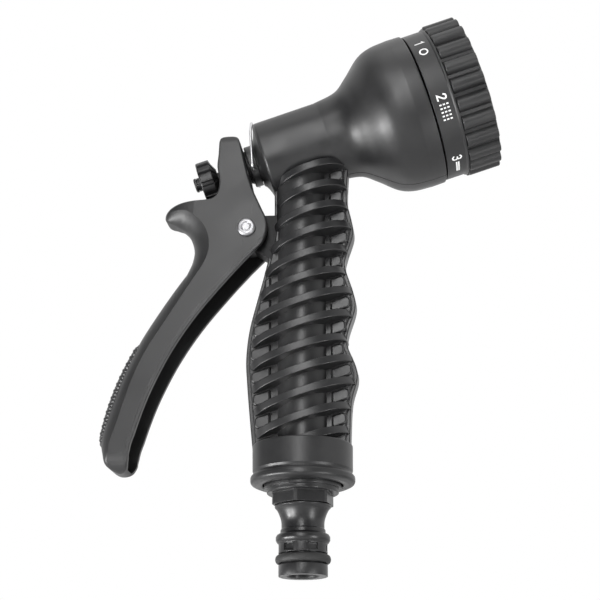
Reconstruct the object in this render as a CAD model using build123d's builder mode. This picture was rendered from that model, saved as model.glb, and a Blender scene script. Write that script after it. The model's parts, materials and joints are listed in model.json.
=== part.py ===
from build123d import *
import math
import os

os.makedirs("parts", exist_ok=True)

# Frame: Z up along the inlet and handle, X forwards to the spray head, Y across.
# The origin is on the inlet axis at the open end of the click-fit spigot. Lengths in mm.

# ---- driving dimensions -------------------------------------------------------------
BARREL_TILT = 17.2          # rise of the barrel above the horizontal, degrees
BARREL_Z = 147.3            # height where the barrel axis crosses the inlet axis
BARREL_R = 14.0
BARREL_REAR = -13.8         # stations along the barrel axis are measured from that crossing
BELL_R = 26.6
BELL_END = 44.3
CHAMBER_R = 9.0
FRONT_WALL = 32.0

BAND_R = 25.9
BAND_START = 44.8
RING_START = 52.6
DIAL_END = 64.2
RIDGE_R = 27.1
RIDGES = 24
PATTERNS = 7
PORT_RADIUS = 13.5          # distance of the ports from the barrel axis
DIAL_PLATE = (45.7, 48.7)
FACE = (57.6, 60.8)

STEM_R = 2.0
GLAND_R = 7.3
GLAND_END = -19.1
KNOB = (-37.0, -32.0, -30.6)  # rear face, shoulder and nose of the knob
KNOB_R = 6.8
KNOB_FLUTES = 12

PIVOT_X = -17.9
PIVOT_Z = 115.5
RIVET_R = 2.4
LEVER_HALF = 8.1
LEVER_WALL = 1.8
TIP_ROUND = 5.6
PAD_HALF = 4.4              # half width of the grip pad on the back of the lever
LUG_HALF = 5.9

BAIL_S = -18.0              # pivot of the wire bail, along and above the barrel axis
BAIL_T = -4.1
BAIL_HALF = 8.9
BAIL_LEG = 16.8             # height of the wire above its hinge
BAIL_SHOULDER = 11.5        # where its sides start to slant in
BAIL_LEAN = 9.5             # forwards from square to the barrel, degrees
WIRE_R = 0.45

HANDLE_Y = 12.3             # half width of the handle across the ribs
CORE_R = 9.2
BORE_R = 5.0
RIBS = 13
RIB_PITCH = 7.78
RIB_TOP = 133.1
RIB_THICK = 2.7
COLLAR_TOP = 41.6
COLLAR_R = 16.1
LIP_R = 16.8
LIP_Z = 28.4

NUT_R = 12.4
NUT_CORNER = 10.3           # hexagon of the inlet nut, and where its first corner points
NUT_TURN = -37.5
TUBE_R = 7.75
SPIGOT_BORE = 4.85

tilt = math.radians(BARREL_TILT)
AX = (math.cos(tilt), 0, math.sin(tilt))
UP = (-math.sin(tilt), 0, math.cos(tilt))
BARREL = Plane(origin=(0, 0, BARREL_Z), x_dir=AX, z_dir=(0, -1, 0))
BARREL_AXIS = Axis((0, 0, BARREL_Z), AX)


def at(s, t=0.0, y=0.0):
    """World point at station s along the barrel, t above its axis and y across."""
    return (s * AX[0] + t * UP[0], y, BARREL_Z + s * AX[2] + t * UP[2])


def across(s, t=0.0):
    """Plane square to the barrel at station s; its Y points up the head."""
    return Plane(origin=at(s, t), x_dir=(0, 1, 0), z_dir=AX)


def turned(points, plane=BARREL, axis=BARREL_AXIS):
    """Solid of revolution from a closed outline of (station, radius) points."""
    with BuildPart() as solid:
        with BuildSketch(plane):
            with BuildLine():
                Polyline(*points, close=True)
            make_face()
        revolve(axis=axis)
    return solid.part


def upright(points):
    """Solid of revolution about Z from a closed outline of (radius, height) points."""
    return turned(points, Plane.XZ, Axis.Z)


def ring(points_count, radius, start=0.0):
    """Polar positions (x, y, angle) for repeated features."""
    for k in range(points_count):
        a = start + 360.0 * k / points_count
        yield radius * math.sin(math.radians(a)), radius * math.cos(math.radians(a)), a


def coil_spring(origin, pitch, height, radius, wire_radius):
    """Round-wire compression spring along the barrel direction."""
    with BuildPart() as solid:
        with BuildLine():
            path = Helix(pitch=pitch, height=height, radius=radius, center=origin, direction=AX)
        with BuildSketch(Plane(origin=path @ 0, z_dir=path % 0)):
            Circle(wire_radius)
        sweep()
    return solid.part


def save(part, label):
    part.label = label
    export_step(part, "parts/" + label + ".step")


# ---- handle outline in the middle plane, from the collar up into the barrel ---------
REAR = [(-15.6, 36), (-16.8, 48), (-18.0, 62), (-18.4, 71), (-17.3, 81), (-14.6, 92),
        (-11.6, 104), (-9.6, 115), (-9.1, 124), (-9.5, 140)]
FRONT = [(16.6, 140), (15.9, 126.5), (17.3, 119), (17.9, 113.5), (15.6, 106), (15.0, 101.5),
         (17.6, 92.5), (18.2, 87), (15.6, 78.5), (15.4, 74), (18.0, 67), (18.5, 62.5),
         (16.6, 55.5), (15.9, 46), (15.6, 36)]


def reach(points, z):
    """X of an outline at height z, read off between its points."""
    pts = sorted(points, key=lambda p: p[1])
    for (xa, za), (xb, zb) in zip(pts, pts[1:]):
        if za <= z <= zb:
            return xa + (xb - xa) * (z - za) / (zb - za)
    return pts[-1][0]


def side_slab(shrink, half):
    """Middle-plane slab of the handle, drawn in by shrink and half wide each way."""
    with BuildPart() as solid:
        with BuildSketch(Plane.XZ):
            with BuildLine():
                Spline(*[(x + shrink, z) for x, z in REAR])
                Line((REAR[-1][0] + shrink, 140), (FRONT[0][0] - shrink, 140))
                Spline(*[(x - shrink, z) for x, z in FRONT])
                Line((FRONT[-1][0] - shrink, 36), (REAR[0][0] + shrink, 36))
            make_face()
        extrude(amount=half, both=True)
    return solid.part


# ---- body: barrel, bell, ribbed handle, collar, pivot lug ---------------------------
with BuildPart() as ribs:
    for k in range(RIBS):
        z = RIB_TOP - k * RIB_PITCH
        rear = reach(REAR, z - 4.4) + 1.3
        front = reach(FRONT, z + 5.6)
        a = (front - rear) / 2 / math.cos(tilt)
        mid = (front + rear) / 2 / math.cos(tilt)
        pts = []
        for i in range(12):
            c = math.cos(math.pi * i / 6)
            d = math.sin(math.pi * i / 6)
            x = mid + a * math.copysign(abs(c) ** 0.84, c)
            pts.append((x, HANDLE_Y * math.copysign(abs(d) ** 0.84, d)))
        with BuildSketch(Plane(origin=(0, 0, z), x_dir=AX, z_dir=UP)):
            with BuildLine():
                Spline(*pts, periodic=True)
            make_face()
        extrude(amount=RIB_THICK * math.cos(tilt))

with BuildPart() as body:
    with BuildSketch(BARREL):
        with BuildLine():
            Polyline((BARREL_REAR + 0.6, 0), (-16.2, 0), (-16.2, 7.6))
            Spline(
                (-16.2, 7.6),
                (-15.2, 8.8),
                (BARREL_REAR, 13.1),
                tangents=[(1, 0), (0.12, 1)],
            )
            Line((BARREL_REAR, 13.1), (BARREL_REAR + 0.7, BARREL_R))
            Line((BARREL_REAR + 0.7, BARREL_R), (9.0, BARREL_R + 0.1))
            Spline(
                (9.0, BARREL_R + 0.1),
                (17.0, 15.4),
                (22.0, 18.9),
                (28.0, 24.0),
                (33.0, 26.0),
                (39.5, BELL_R),
                tangents=[(1, 0), (1, 0)],
            )
            Polyline(
                (39.5, BELL_R),
                (BELL_END, BELL_R - 0.1),
                (BELL_END, 24.3),
                (FRONT_WALL + 1.5, 23.2),
                (FRONT_WALL, 21.5),
                (FRONT_WALL, 5.0),
                (49.0, 5.0),
                (49.0, 0),
                (BARREL_REAR + 0.6, 0),
            )
        make_face()
    revolve(axis=BARREL_AXIS)
    with Locations((0.4, 0, 36)):
        Cylinder(CORE_R, 104, align=(Align.CENTER, Align.CENTER, Align.MIN))
    add(ribs.part)
    add(side_slab(1.3, 4.8))
    add(side_slab(0.35, 2.2))
    # collar, lip and the recess for the inlet nut
    add(
        upright(
            [
                (0, 31.8),
                (15.7, 31.8),
                (COLLAR_R, 34.0),
                (COLLAR_R + 0.1, COLLAR_TOP - 0.5),
                (COLLAR_R - 0.5, COLLAR_TOP),
                (0, COLLAR_TOP),
            ]
        )
    )
    add(
        upright(
            [
                (0, 32.2),
                (15.6, 32.2),
                (16.4, 31.6),
                (LIP_R, 30.6),
                (LIP_R, 29.6),
                (16.3, 28.7),
                (15.3, LIP_Z),
                (13.2, LIP_Z),
                (12.9, 28.9),
                (12.9, 31.4),
                (0, 31.4),
            ]
        )
    )
    # port tube and detent pocket on the front wall of the bell
    with BuildSketch(across(FRONT_WALL - 1)):
        with Locations((0, PORT_RADIUS), (0, -PORT_RADIUS)):
            Circle(6.2)
    extrude(amount=12.2)
    # lug for the lever pivot
    with BuildSketch(Plane.XZ):
        with BuildLine():
            Polyline(
                (-6, 122.0),
                (PIVOT_X, 122.0),
            )
            ThreePointArc(
                (PIVOT_X, 122.0),
                (PIVOT_X - 6.5, PIVOT_Z),
                (PIVOT_X + 2.0, PIVOT_Z - 6.19),
            )
            Polyline(
                (PIVOT_X + 2.0, PIVOT_Z - 6.19),
                (-10.4, 105.6),
                (-6, 103.5),
                (-6, 122.0),
            )
        make_face()
    extrude(amount=LUG_HALF, both=True)
    # waterway: inlet bore, valve chamber, passage, distribution space, port
    with Locations((0, 0, 28)):
        Cylinder(BORE_R, 112, align=(Align.CENTER, Align.CENTER, Align.MIN), mode=Mode.SUBTRACT)
    with BuildSketch(Plane.XY.offset(30.0)):
        Circle(6.45)
    extrude(amount=9.0, mode=Mode.SUBTRACT)
    with BuildSketch(BARREL):
        with BuildLine():
            Polyline(
                (-20, 0),
                (-20, 6.0),
                (-11.5, 6.0),
                (-10.0, CHAMBER_R),
                (19.0, CHAMBER_R),
                (19.0, 4.6),
                (24.0, 4.6),
                (26.0, 15.0),
                (29.0, 17.0),
                (29.0, 0),
                close=True,
            )
        make_face()
    revolve(axis=BARREL_AXIS, mode=Mode.SUBTRACT)
    with BuildSketch(across(28.0)):
        with Locations((0, PORT_RADIUS)):
            Circle(3.0)
    extrude(amount=20, mode=Mode.SUBTRACT)
    with BuildSketch(across(38.0)):
        with Locations((0, PORT_RADIUS)):
            Circle(4.8)
    extrude(amount=10, mode=Mode.SUBTRACT)
    with BuildSketch(across(36.0)):
        with Locations((0, -PORT_RADIUS)):
            Circle(1.9)
    extrude(amount=10, mode=Mode.SUBTRACT)
    # screw hole in the spindle, and the pivot hole through the lug
    with BuildSketch(across(38.0)):
        Circle(1.6)
    extrude(amount=14, mode=Mode.SUBTRACT)
    with BuildSketch(Plane.XZ):
        with Locations((PIVOT_X, PIVOT_Z)):
            Circle(RIVET_R + 0.02)
    extrude(amount=12, both=True, mode=Mode.SUBTRACT)
save(body.part, "body")

# ---- valve seat, pressed into the front of the chamber ------------------------------
seat = turned(
    [(15.6, 5.0), (16.1, 4.6), (19.0, 4.6), (19.0, CHAMBER_R), (16.6, CHAMBER_R), (16.6, 6.2), (15.6, 5.6)]
)
save(seat, "valve_seat")

# ---- gland nut closing the rear of the chamber --------------------------------------
with BuildPart() as gland:
    with BuildSketch(BARREL):
        with BuildLine():
            Polyline(
                (-20.8, STEM_R + 0.05),
                (-20.8, 5.4),
                (-20.5, 5.9),
                (-20.1, 5.9),
                (-19.9, 5.4),
                (-19.6, 5.9),
                (GLAND_END, 5.9),
                (GLAND_END, GLAND_R - 0.3),
                (GLAND_END + 0.3, GLAND_R),
                (-16.3, GLAND_R),
                (-16.3, 5.96),
                (-10.6, 5.96),
                (-10.6, 4.2),
                (-13.2, 4.2),
                (-13.2, STEM_R + 0.05),
                close=True,
            )
        make_face()
    revolve(axis=BARREL_AXIS)
    with BuildSketch(Plane(origin=at(BAIL_S, BAIL_T), x_dir=AX, z_dir=(0, -1, 0))):
        Circle(WIRE_R + 0.05)
    extrude(amount=12, both=True, mode=Mode.SUBTRACT)
save(gland.part, "gland_nut")

with BuildPart() as gland_seal:
    with BuildSketch(BARREL):
        with Locations((-12.2, STEM_R + 1.1)):
            Ellipse(0.85, 1.04)
    revolve(axis=BARREL_AXIS)
save(gland_seal.part, "gland_seal")

# ---- stem, its rubber disc and the closing spring -----------------------------------
stem = turned(
    [
        (-38.3, 0),
        (-38.3, 1.9),
        (-37.9, STEM_R),
        (10.6, STEM_R),
        (10.6, 6.2),
        (13.2, 6.2),
        (13.2, 2.4),
        (15.8, 2.4),
        (16.6, 1.4),
        (16.6, 0),
    ]
)
save(stem, "valve_stem")
save(turned([(13.25, 2.45), (13.25, 6.8), (15.3, 6.8), (15.3, 2.45)]), "valve_disc")

save(coil_spring(at(-10.0), 3.3, 20.0, 3.35, 0.45), "valve_spring")

# ---- flow knob and the end cap that keeps it on the stem ----------------------------
with BuildPart() as knob:
    add(
        turned(
            [
                (KNOB[0] - 1.2, STEM_R + 0.05),
                (KNOB[0] - 1.2, 2.4),
                (KNOB[0], 2.4),
                (KNOB[0], KNOB_R - 0.9),
                (KNOB[0] + 0.5, KNOB_R - 0.3),
                (KNOB[1] - 0.3, KNOB_R - 0.3),
                (KNOB[1] + 0.2, KNOB_R - 0.9),
                (KNOB[2], 3.3),
                (KNOB[2], STEM_R + 0.05),
            ]
        )
    )
    with BuildSketch(across(KNOB[0] + 0.25)):
        for x, y, a in ring(KNOB_FLUTES, KNOB_R - 0.75):
            with Locations(Location((x, y, 0), (0, 0, -a))):
                RectangleRounded(2.1, 1.7, 0.35)
    extrude(amount=4.9)
save(knob.part, "flow_knob")
save(
    turned([(-39.3, 0), (-39.3, 2.2), (-39.0, 2.5), (-38.35, 2.5), (-38.35, 0)]),
    "stem_cap",
)

def tip_form(half, bottom, radius):
    """Tall block, 2 * half wide, whose lower end is rounded across the lever."""
    with BuildPart() as solid:
        with BuildSketch(Plane.YZ.offset(-80)):
            with Locations((0, bottom + 80)):
                RectangleRounded(2 * half, 160, radius)
        extrude(amount=80)
    return solid.part


# ---- grip pad let into the back of the lever ----------------------------------------
with BuildPart() as pad:
    with BuildSketch(Plane.XZ):
        with BuildLine():
            outer = ThreePointArc((-54.8, 78.5), (-62.9, 61.4), (-66.7, 47.0))
            foot = TangentArc(outer @ 1, (-65.7, 41.2), tangent=outer % 1)
            Polyline(foot @ 1, (-64.4, 41.6), (-65.1, 47.4), (-61.4, 60.4), (-53.4, 77.3), outer @ 0)
        make_face()
    extrude(amount=PAD_HALF, both=True)
save(pad.part, "grip_pad")

# ---- lever: hollow channel with a finger hook ---------------------------------------
with BuildPart() as lever:
    with BuildSketch(Plane.XZ):
        with BuildLine():
            back = ThreePointArc((-38.9, 101.0), (-54.9, 77.0), (-65.8, 50.0))
            TangentArc(back @ 0, (-43.6, 118.7), tangent=(back % 0) * -1)
            toe = TangentArc(back @ 1, (-63.9, 39.4), tangent=back % 1)
            Line(toe @ 1, (-61.0, 34.6))
            ThreePointArc((-61.0, 34.6), (-57.8, 33.4), (-55.2, 34.8))
            Spline(
                (-55.2, 34.8),
                (-55.1, 41.0),
                (-51.6, 53.2),
                (-47.8, 62.8),
                (-42.1, 74.0),
                (-34.6, 85.3),
                (-25.4, 96.5),
                (-18.2, 104.5),
            )
            Line((-18.2, 104.5), (-13.1, 109.6))
            ThreePointArc((-13.1, 109.6), (-11.0, 115.4), (-12.4, 121.5))
            Polyline((-12.4, 121.5), (-16.1, 130.0), (-17.8, 135.6), (-20.5, 147.9))
            ThreePointArc((-20.5, 147.9), (-21.6, 150.2), (-23.1, 150.9))
            Line((-23.1, 150.9), (-26.0, 150.9))
            ThreePointArc((-26.0, 150.9), (-27.4, 150.3), (-27.9, 148.9))
            Spline((-27.9, 148.9), (-28.1, 143.6), (-28.5, 139.2), (-27.5, 133.6))
            ThreePointArc((-27.5, 133.6), (-28.0, 129.0), (-31.7, 127.0))
            Spline((-31.7, 127.0), (-37.3, 126.8), (-42.3, 125.0), tangents=[(-1, 0.05), (-1, -0.6)])
            ThreePointArc((-42.3, 125.0), (-45.2, 123.0), (-46.1, 121.0))
            Line((-46.1, 121.0), (-43.6, 118.7))
        make_face()
    extrude(amount=LEVER_HALF, both=True)
    rim = lever.edges().filter_by(lambda e: abs(abs(e.center().Y) - LEVER_HALF) < 1e-6)
    grip_rim = rim.filter_by(GeomType.CIRCLE).filter_by(lambda e: e.length > 12 and e.center().X < -30)
    fillet(grip_rim, 6.0)
    add(tip_form(LEVER_HALF + 0.1, 33.1, TIP_ROUND), mode=Mode.INTERSECT)
    with BuildPart(mode=Mode.PRIVATE) as hollow:
        with BuildSketch(Plane.XZ):
            with BuildLine():
                Polyline((-8, 148.6), (-25.7, 148.6), (-26.0, 143.0), (-26.3, 139.0), (-25.2, 133.0))
                ThreePointArc((-25.2, 133.0), (-27.8, 124.0), (-33.3, 116.2))
                inner = ThreePointArc((-36.6, 102.2), (-52.8, 76.1), (-63.3, 49.5))
                Spline((-33.3, 116.2), (-35.2, 109.3), inner @ 0, tangents=[(-0.55, -0.8), inner % 0])
                low = TangentArc(inner @ 1, (-61.3, 38.8), tangent=inner % 1)
                Polyline(low @ 1, (-59.0, 35.5), (-40, 34.9), (-8, 90), (-8, 148.6))
            make_face()
        extrude(amount=LEVER_HALF - LEVER_WALL, both=True)
        add(tip_form(LEVER_HALF - LEVER_WALL + 0.1, 34.7, TIP_ROUND - LEVER_WALL), mode=Mode.INTERSECT)
    add(hollow.part, mode=Mode.SUBTRACT)
    add(pad.part, mode=Mode.SUBTRACT)
    with BuildSketch(across(-33, 0.75)):
        SlotOverall(6.2, 2 * STEM_R + 0.7, rotation=90)
    extrude(amount=10, mode=Mode.SUBTRACT)
    with BuildSketch(Plane.XZ):
        with Locations((PIVOT_X, PIVOT_Z)):
            Circle(RIVET_R + 0.06)
    extrude(amount=12, both=True, mode=Mode.SUBTRACT)
save(lever.part, "lever")

# ---- rivet through lever and lug ----------------------------------------------------
rivet_axis = Axis((PIVOT_X, 0, PIVOT_Z), (0, 1, 0))
with BuildPart() as rivet:
    with BuildSketch(Plane(origin=(PIVOT_X, 0, PIVOT_Z), x_dir=(0, 1, 0), z_dir=(1, 0, 0))):
        with BuildLine():
            Polyline((-9.55, 0), (-9.55, 1.3), (-9.75, 1.8), (-9.45, 2.55))
            ThreePointArc((-9.45, 2.55), (-9.0, 2.95), (-8.2, 3.08))
            Polyline((-8.2, 3.08), (-8.2, RIVET_R), (8.2, RIVET_R), (8.2, 3.08))
            ThreePointArc((8.2, 3.08), (9.0, 2.95), (9.45, 2.55))
            Polyline((9.45, 2.55), (9.75, 1.8), (9.55, 1.3), (9.55, 0), (-9.55, 0))
        make_face()
    revolve(axis=rivet_axis)
save(rivet.part, "pivot_rivet")

# ---- wire bail hinged in the gland nut ----------------------------------------------
lean = math.radians(BAIL_LEAN)
normal = tuple(a * math.cos(lean) - u * math.sin(lean) for a, u in zip(AX, UP))
bail_plane = Plane(origin=at(BAIL_S, BAIL_T), x_dir=(0, 1, 0), z_dir=normal)
with BuildPart() as bail:
    with BuildLine(bail_plane):
        wire = FilletPolyline(
            (-4.2, 0),
            (-BAIL_HALF, 0),
            (-BAIL_HALF, BAIL_SHOULDER),
            (-BAIL_HALF / 2, BAIL_LEG),
            (BAIL_HALF / 2, BAIL_LEG),
            (BAIL_HALF, BAIL_SHOULDER),
            (BAIL_HALF, 0),
            (4.2, 0),
            radius=1.9,
        )
    with BuildSketch(Plane(origin=wire @ 0, z_dir=wire % 0)):
        Circle(WIRE_R)
    sweep()
save(bail.part, "wire_bail")

# ---- dial: band, ridged ring, port plate and tubes ----------------------------------
with BuildPart() as dial:
    add(
        turned(
            [
                (BAND_START, 24.2),
                (BAND_START, BAND_R - 0.2),
                (BAND_START + 0.2, BAND_R),
                (51.5, BAND_R),
                (52.1, BAND_R + 0.4),
                (RING_START, BAND_R + 0.4),
                (RING_START, 25.4),
                (63.5, 25.4),
                (DIAL_END, 25.1),
                (DIAL_END, 24.3),
                (FACE[1] + 0.4, 23.5),
                (FACE[0], 23.5),
                (FACE[0], 22.2),
                (DIAL_PLATE[1], 22.2),
                (DIAL_PLATE[1], 5.06),
                (DIAL_PLATE[0], 5.06),
                (DIAL_PLATE[0], 24.2),
            ]
        )
    )
    with BuildSketch(across(RING_START + 0.3)):
        for x, y, a in ring(RIDGES, 26.2, 7.5):
            with Locations(Location((x, y, 0), (0, 0, -a))):
                Polygon((-2.75, -0.9), (2.75, -0.9), (2.05, 0.9), (-2.05, 0.9), align=None)
    extrude(amount=10.9)
    with BuildSketch(across(DIAL_PLATE[1] - 0.5)):
        for x, y, a in ring(PATTERNS, PORT_RADIUS):
            with Locations((x, y)):
                Circle(4.6)
    extrude(amount=FACE[0] - DIAL_PLATE[1] + 0.4)
    with BuildSketch(across(44)):
        for x, y, a in ring(PATTERNS, PORT_RADIUS):
            with Locations((x, y)):
                Circle(3.0)
    extrude(amount=14, mode=Mode.SUBTRACT)
    with BuildSketch(across(DIAL_PLATE[0])):
        for x, y, a in ring(PATTERNS, PORT_RADIUS, 180.0):
            with Locations((x, y)):
                Circle(1.3)
    extrude(amount=0.5, mode=Mode.SUBTRACT)
save(dial.part, "dial")

# ---- spray face with one pattern over each tube -------------------------------------
with BuildPart() as face:
    add(
        turned(
            [
                (FACE[0] + 0.05, 0),
                (FACE[0] + 0.05, 23.45),
                (FACE[1], 23.45),
                (FACE[1] + 0.3, 23.1),
                (FACE[1] + 0.3, 20.4),
                (FACE[1], 20.0),
                (FACE[1], 6.0),
                (FACE[1] + 0.7, 5.2),
                (FACE[1] + 0.9, 0),
            ]
        )
    )
    with BuildSketch(across(FACE[1] - 0.2)):
        for x, y, a in ring(PATTERNS, PORT_RADIUS):
            with Locations((x, y)):
                Circle(5.2)
                Circle(4.5, mode=Mode.SUBTRACT)
    extrude(amount=0.7)
    spots = [(x, y, a) for x, y, a in ring(PATTERNS, PORT_RADIUS)]
    with BuildSketch(across(FACE[0] - 1)):
        with Locations(spots[0][:2]):
            Circle(1.5)
        with Locations(spots[1][:2]):
            Circle(0.45)
            with PolarLocations(1.7, 6):
                Circle(0.45)
            with PolarLocations(3.4, 12):
                Circle(0.45)
        with Locations(Location((*spots[2][:2], 0), (0, 0, -spots[2][2]))):
            SlotOverall(6.8, 0.9)
        with Locations(spots[3][:2]):
            Circle(2.6)
        with Locations(spots[4][:2]):
            Circle(0.6)
        with Locations(spots[5][:2]):
            with PolarLocations(2.4, 6):
                SlotOverall(2.2, 0.7)
        with Locations(spots[6][:2]):
            with PolarLocations(2.6, 8):
                Circle(0.75)
    extrude(amount=6, mode=Mode.SUBTRACT)
    with BuildSketch(across(FACE[1] - 1.1)):
        with Locations(spots[4][:2]):
            Circle(1.7)
    extrude(amount=3, mode=Mode.SUBTRACT)
save(face.part, "spray_face")

# ---- dial fastening, port seal and detent -------------------------------------------
save(turned([(49.05, 1.75), (49.05, 8.0), (50.0, 8.0), (50.0, 1.75)]), "dial_washer")
with BuildPart() as screw:
    add(turned([(39.0, 0), (39.6, 1.55), (50.05, 1.55), (50.05, 4.2), (51.6, 4.2), (52.4, 3.2), (52.4, 0)]))
    with BuildSketch(across(51.3)):
        Rectangle(4.4, 0.9)
        Rectangle(0.9, 4.4)
    extrude(amount=3, mode=Mode.SUBTRACT)
save(screw.part, "dial_screw")

port_axis = Axis(at(0, PORT_RADIUS), AX)
port_plane = Plane(origin=at(0, PORT_RADIUS), x_dir=AX, z_dir=(0, -1, 0))
seal = turned(
    [(40.6, 3.1), (40.6, 4.7), (44.6, 4.7), (45.4, 4.2), (45.5, 3.6), (45.1, 3.1)], port_plane, port_axis
)
save(seal, "port_seal")


save(coil_spring(at(38.4, PORT_RADIUS), 0.95, 1.8, 3.95, 0.3), "seal_spring")
save(coil_spring(at(36.3, -PORT_RADIUS), 1.2, 5.4, 1.3, 0.25), "detent_spring")
with BuildPart() as ball:
    with Locations(at(43.8, -PORT_RADIUS)):
        Sphere(1.75)
save(ball.part, "detent_ball")

# ---- inlet: nut, gasket, spigot, O-ring and strainer --------------------------------
with BuildPart() as nut:
    add(
        upright(
            [
                (6.5, 26.0),
                (11.3, 26.0),
                (11.5, 26.2),
                (11.5, 27.4),
                (NUT_R, 27.4),
                (NUT_R, 29.6),
                (6.5, 29.6),
            ]
        )
    )
    with BuildSketch(Plane.XY.offset(22.3)):
        RegularPolygon(NUT_CORNER, 6, rotation=NUT_TURN)
        Circle(NUT_CORNER - 0.3, mode=Mode.INTERSECT)
        Circle(6.5, mode=Mode.SUBTRACT)
    extrude(amount=3.9)
save(nut.part, "inlet_nut")
save(upright([(6.6, 29.7), (11.6, 29.7), (11.6, 31.3), (6.6, 31.3)]), "inlet_gasket")

with BuildPart() as spigot:
    with BuildSketch(Plane.XZ):
        with BuildLine():
            Polyline(
                (5.3, 0),
                (TUBE_R, 0),
                (TUBE_R, 3.5),
                (7.0, 3.5),
                (7.0, 7.0),
                (TUBE_R, 7.0),
                (TUBE_R, 10.1),
                (8.2, 10.5),
                (8.6, 11.2),
                (8.6, 12.2),
                (8.2, 12.9),
                (7.2, 13.4),
                (7.1, 14.5),
                (6.8, 14.8),
                (6.8, 16.2),
            )
            Spline((6.8, 16.2), (7.5, 19.3), (8.95, 21.6), tangents=[(0, 1), (0.9, 0.7)])
            Polyline(
                (8.95, 21.6),
                (8.95, 22.15),
                (6.4, 22.15),
                (6.4, 37.9),
                (SPIGOT_BORE, 37.9),
                (SPIGOT_BORE, 0.5),
                (5.3, 0),
            )
        make_face()
    revolve(axis=Axis.Z)
    with BuildSketch(Plane.XY.offset(7.7)):
        for x, y, a in ring(6, TUBE_R, 30.0):
            with Locations(Location((x, y, 0), (0, 0, -a))):
                Rectangle(3.5, 1.7)
    extrude(amount=2.0, mode=Mode.SUBTRACT)
save(spigot.part, "inlet_spigot")

with BuildPart() as oring:
    with BuildSketch(Plane.XZ):
        with Locations((7.9, 5.25)):
            Ellipse(0.86, 1.3)
    revolve(axis=Axis.Z)
save(oring.part, "spigot_oring")

with BuildPart() as strainer:
    with BuildSketch(Plane.XY.offset(38.0)):
        Circle(6.35)
        with GridLocations(1.5, 1.5, 6, 6):
            Rectangle(0.9, 0.9, mode=Mode.SUBTRACT)
    extrude(amount=0.6)
save(strainer.part, "strainer")
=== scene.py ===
import cmath
import json
import math

import bmesh
import bpy
import numpy as np
from mathutils import Matrix, Vector


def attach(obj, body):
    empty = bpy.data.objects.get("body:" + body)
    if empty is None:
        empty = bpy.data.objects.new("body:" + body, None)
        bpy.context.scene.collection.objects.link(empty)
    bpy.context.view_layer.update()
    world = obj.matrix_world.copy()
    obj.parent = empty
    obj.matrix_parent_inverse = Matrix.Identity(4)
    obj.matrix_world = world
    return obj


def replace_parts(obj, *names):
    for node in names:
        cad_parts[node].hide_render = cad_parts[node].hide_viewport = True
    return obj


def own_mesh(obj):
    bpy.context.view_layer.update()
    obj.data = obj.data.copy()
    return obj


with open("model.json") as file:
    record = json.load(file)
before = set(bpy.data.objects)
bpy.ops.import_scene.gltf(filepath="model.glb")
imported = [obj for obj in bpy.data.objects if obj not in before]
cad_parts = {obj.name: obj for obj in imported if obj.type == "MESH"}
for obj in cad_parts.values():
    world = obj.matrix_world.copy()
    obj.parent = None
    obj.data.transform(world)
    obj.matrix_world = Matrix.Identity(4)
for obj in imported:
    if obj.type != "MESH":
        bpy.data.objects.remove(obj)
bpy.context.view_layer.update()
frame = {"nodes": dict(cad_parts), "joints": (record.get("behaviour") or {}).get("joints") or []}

# Frame: Z up along the inlet, X forwards to the spray head, Y across. Lengths below are in
# mm, as in the CAD source, and become metres where a mesh is written.
MM = 0.001
STRAIGHT = 0.02  # a turn too small to round, in radians
EDGE_SHARE = 0.48  # how much of an edge a rounding may use
JOINTS = {j["name"]: j for j in frame["joints"]}

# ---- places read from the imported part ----
AX = Vector(JOINTS["dial_turn"]["axis"])  # along the barrel
UP = Vector((-AX.z, 0, AX.x))  # square to it, in the middle plane
SIDE = Vector((0, 1, 0))
DIAL_POINT = Vector(JOINTS["dial_turn"]["pos_m"]) / MM
CROSSING = DIAL_POINT - AX * (DIAL_POINT.x / AX.x)  # where the barrel meets the inlet axis
PIVOT = Vector(JOINTS["lever_pivot"]["pos_m"]) / MM
TILT = math.atan2(AX.z, AX.x)


# ---- small geometry helpers ----
def curve(points, steps=8):
    """Smooth line through the points (Catmull-Rom), with steps pieces between each two."""
    p = [np.array(q, float) for q in points]
    p = [2 * p[0] - p[1]] + p + [2 * p[-1] - p[-2]]
    out = []
    for a, b, c, d in zip(p, p[1:], p[2:], p[3:]):
        first, second, third = c - a, 2 * a - 5 * b + 4 * c - d, 3 * b - a - 3 * c + d
        for k in range(steps):
            t = k / steps
            out.append(0.5 * (2 * b + first * t + second * t**2 + third * t**3))
    out.append(p[-2])
    return [tuple(q) for q in out]


def rounded(corners, steps=4):
    """Closed outline from (x, y, radius) corners, each rounded with an arc."""
    out = []
    n = len(corners)
    for i, (x, y, r) in enumerate(corners):
        p = Vector((x, y))
        a = Vector(corners[i - 1][:2]) - p
        b = Vector(corners[(i + 1) % n][:2]) - p
        turn = math.pi - a.angle(b, math.pi)
        if r <= 0 or turn < STRAIGHT:
            out.append((x, y))
            continue
        reach = min(r * math.tan(turn / 2), EDGE_SHARE * a.length, EDGE_SHARE * b.length)
        r = reach / math.tan(turn / 2)
        start, end = p + a.normalized() * reach, p + b.normalized() * reach
        middle = p + (a.normalized() + b.normalized()).normalized() * math.hypot(r, reach)
        va, vb = start - middle, end - middle
        full = math.sin(turn)
        for k in range(steps + 1):
            t = k / steps
            v = va * math.sin((1 - t) * turn) / full + vb * math.sin(t * turn) / full
            out.append(tuple(middle + v))
    return out


def plain(points, radius=0.0):
    """The same corner radius on every point of an outline."""
    return [(p[0], p[1], radius) for p in points]


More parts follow.
